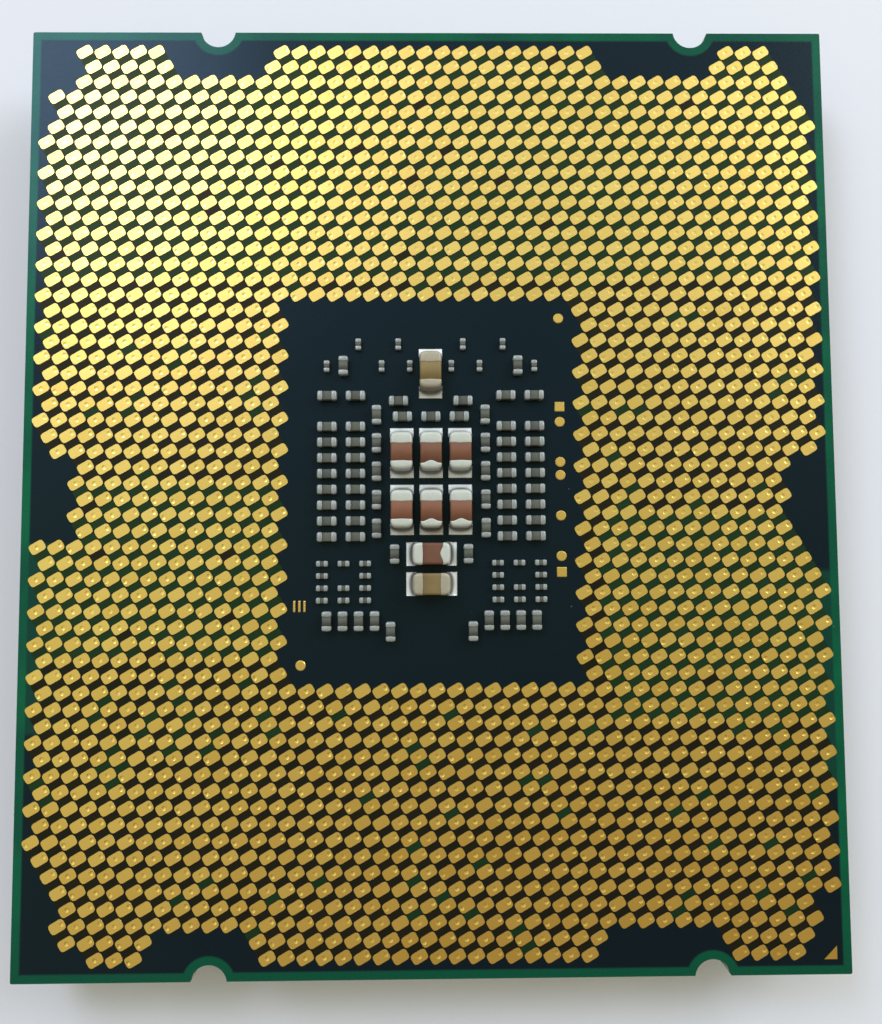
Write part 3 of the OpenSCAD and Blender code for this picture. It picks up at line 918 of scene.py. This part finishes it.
# both fillets of every bulk capacitor; reach and width are those of the node's own solids
def bulkFillets():
    low, high = solidBoxes("bulk_solder_fillets")
    reach, padWidth = np.sort((high - low)[0, :2])
    feet, turns, outers = zip(*bulkFrames)
    feet, turns = endFrames(np.stack(feet), turns)
    rings, stain = filletRings(outers[0], reach, padWidth)
    points, faceSets = setDown(*skin(rings), feet, turns)
    tags = {"stain": np.tile(np.append(stain.ravel(), [0.0, 0.0]), len(feet))}  # a skin's middles get no painted shade
    addPiece("bulkSolderFillets", points, faceSets, solder, ["bulk_solder_fillets"], tags)


bulkFillets()

chipForms = {
    "mid": {
        "edge": 0.06, "steps": 3, "extra": 1, "roll": 0.09, "rollSteps": 4, "lip": 0.03,
        "bow": 0.012, "endBow": 0.03, "inside": 0.04,
    },
    "small": {
        "edge": 0.045, "steps": 3, "extra": 1, "roll": 0.065, "rollSteps": 4, "lip": 0.02,
        "bow": 0.008, "endBow": 0.02, "inside": 0.03,
    },
}


# all chips of one size and lie: ceramic blocks in one piece, cups in another
def chipGroup(size, lie):
    form = chipForms[size]
    bodyNode, endsNode = f"{size}_{lie}_bodies", f"{size}_{lie}_ends"
    feet, turns, outer, band, plating = chipFrames(bodyNode, endsNode)
    points, faceSets = skin(blockRings(outer, band, plating, form))
    tone = np.repeat(dice.random(len(feet)), len(points))
    spread, faceSets = setDown(points, faceSets, feet, turns)
    name = size + lie.capitalize()
    addPiece(name + "Ceramic", spread, faceSets, slateCeramic, [bodyNode], {"tone": tone})
    spread, faceSets = setDown(*skin(cupRings(outer, band, plating, form)), *endFrames(feet, turns))
    addPiece(name + "Ends", spread, faceSets, silverTin, [endsNode])
    print("chips:", name, len(feet))


for chipSize in chipForms:
    for chipLie in ("upright", "level"):
        chipGroup(chipSize, chipLie)

# solids whose own shape is right keep it and take a finish
solidFinishes = {
    "substrate": mask,
    "first_contact_mark": gold,
    "heat_spreader": nickel,
    "lid_sealant": sealant,
    "thermal_solder": lidSolder,
    "die": silicon,
    "die_underfill": underfill,
}
for nodeName, nodeFinish in solidFinishes.items():
    nodes[nodeName].data.materials.clear()
    nodes[nodeName].data.materials.append(nodeFinish)
print("solids with a finish:", len(solidFinishes))

tableTop = {
    "half": 1.5,  # metres
    "light": paint(227, 228, 234),
    "dark": paint(220, 221, 228),
    "cloud": (0.02, 3.0),
    "tooth": (3.0, 3.0),
    "shares": (0.6, 0.4),  # cloud, tooth
    "rough": 0.8,
    "gloss": 0.1,
    "relief": (0.1, 0.02),
}


# pale matte table with a faint paper tooth
def tableLook(tree):
    place = inMm(tree)
    cloud = noise(tree, place, *tableTop["cloud"])
    tooth = noise(tree, place, *tableTop["tooth"])
    ofCloud, ofTooth = tableTop["shares"]
    return {
        "Base Color": (cloud * ofCloud + tooth * ofTooth).between(tableTop["dark"], tableTop["light"]),
        "Roughness": tableTop["rough"],
        "Specular IOR Level": tableTop["gloss"],
        "Normal": bump(tree, tooth, *tableTop["relief"]),
    }


tableMesh = bpy.data.meshes.new("table")
tableCorners = np.array([[-1, -1, 0], [1, -1, 0], [1, 1, 0], [-1, 1, 0]]) * tableTop["half"]
tableMesh.from_pydata(tableCorners.tolist(), [], [(0, 1, 2, 3)])
tableMesh.materials.append(finish("tablePaper", tableLook))
table = bpy.data.objects.new("table", tableMesh)
bpy.context.scene.collection.objects.link(table)

roomLight = {
    # how far the view points to +Y, then the dome's light there
    "dome": [
        (-0.7, (0.3, 0.255, 0.19)),
        (-0.35, (0.38, 0.27, 0.137)),
        (0.0, (0.515, 0.5, 0.295)),
        (0.35, (0.58, 0.65, 0.61)),
        (0.7, (1.22, 1.29, 1.3)),
    ],
    # window on the left: its light, how far left and how high
    "window": (0.4, 0.48, 0.42, 1.0),
    "windowLeft": (0.0, 0.6),
    "windowHigh": (0.5, 0.85),
    # plain grey wall near the floor, from near to far, and where it gives way to the dome
    "wallNear": (0.36, 0.365, 0.39, 1.0),
    "wallFar": (0.86, 0.88, 0.9, 1.0),
    "wallFade": (-0.8, 0.8),
    "wallTop": (0.25, 0.5),
}


# soft room: a dome that is cool and bright on the far side, warm and dim on the near side,
# grey walls below it and a window high on the left
def roomLook():
    world = bpy.data.worlds.new("room")
    world.use_nodes = True
    world.node_tree.nodes.clear()
    tree = Wire(world.node_tree)
    x, y, z = splitAxes(tree, tree.add("ShaderNodeTexCoord", out=0))
    stops = [((far + 1) / 2, (*light, 1.0)) for far, light in roomLight["dome"]]
    dome = tree.add("ShaderNodeValToRGB", {"stops": stops}, {0: (y + 1) * 0.5})
    wall = y.rise(*roomLight["wallFade"]).between(roomLight["wallNear"], roomLight["wallFar"])
    around = z.rise(*roomLight["wallTop"]).between(wall, dome)
    pane = (x * -1).rise(*roomLight["windowLeft"]) * z.rise(*roomLight["windowHigh"])
    room = tree.add("ShaderNodeBackground", None, {"Color": around})
    window = tree.add("ShaderNodeBackground", None, {"Color": roomLight["window"], "Strength": pane})
    both = tree.add("ShaderNodeAddShader", None, {0: room, 1: window})
    tree.add("ShaderNodeOutputWorld", None, {"Surface": both})
    bpy.context.scene.world = world


roomLook()

softPanels = {
    # place and aim in mm, size in mm, watts
    "keyPanel": {
        "place": (270, 170, 212), "aim": (0, 0, 5), "size": 200, "power": 0.71, "tint": paint(240, 247, 255),
    },
    "sheenPanel": {
        "place": (-125, 165, 235), "aim": (0, 0, 5), "size": 110, "power": 0.37, "tint": paint(214, 221, 252),
    },
}


# turn that points an object's -Z from its place to its aim
def aimed(place, aim):
    return (Vector(aim) - Vector(place)).to_track_quat("-Z", "Y").to_euler()


for panelName, panel in softPanels.items():
    lamp = bpy.data.lights.new(panelName, "AREA")
    lamp.size = panel["size"] * mm
    lamp.energy = panel["power"]
    lamp.color = panel["tint"][:3]
    lampObject = bpy.data.objects.new(panelName, lamp)
    lampObject.location = [v * mm for v in panel["place"]]
    lampObject.rotation_euler = aimed(panel["place"], panel["aim"])
    bpy.context.scene.collection.objects.link(lampObject)
print("lights:", len(softPanels), "panels and a dome")

viewpoint = {
    "place": (-0.147, -4.558, 54.653),  # mm
    "turn": (3.819, -0.765, -0.352),  # degrees
    "lens": 31.64,  # mm
    "sensor": 36.0,  # mm, along the taller side of the picture
    "nearest": 1.0,  # mm
}
cameraData = bpy.data.cameras.new("camera")
cameraData.lens = viewpoint["lens"]
cameraData.sensor_width = viewpoint["sensor"]
cameraData.clip_start = viewpoint["nearest"] * mm
camera = bpy.data.objects.new("camera", cameraData)
camera.location = [v * mm for v in viewpoint["place"]]
camera.rotation_euler = np.radians(viewpoint["turn"])
bpy.context.scene.collection.objects.link(camera)
bpy.context.scene.camera = camera
bpy.context.scene.view_settings.view_transform = "Standard"
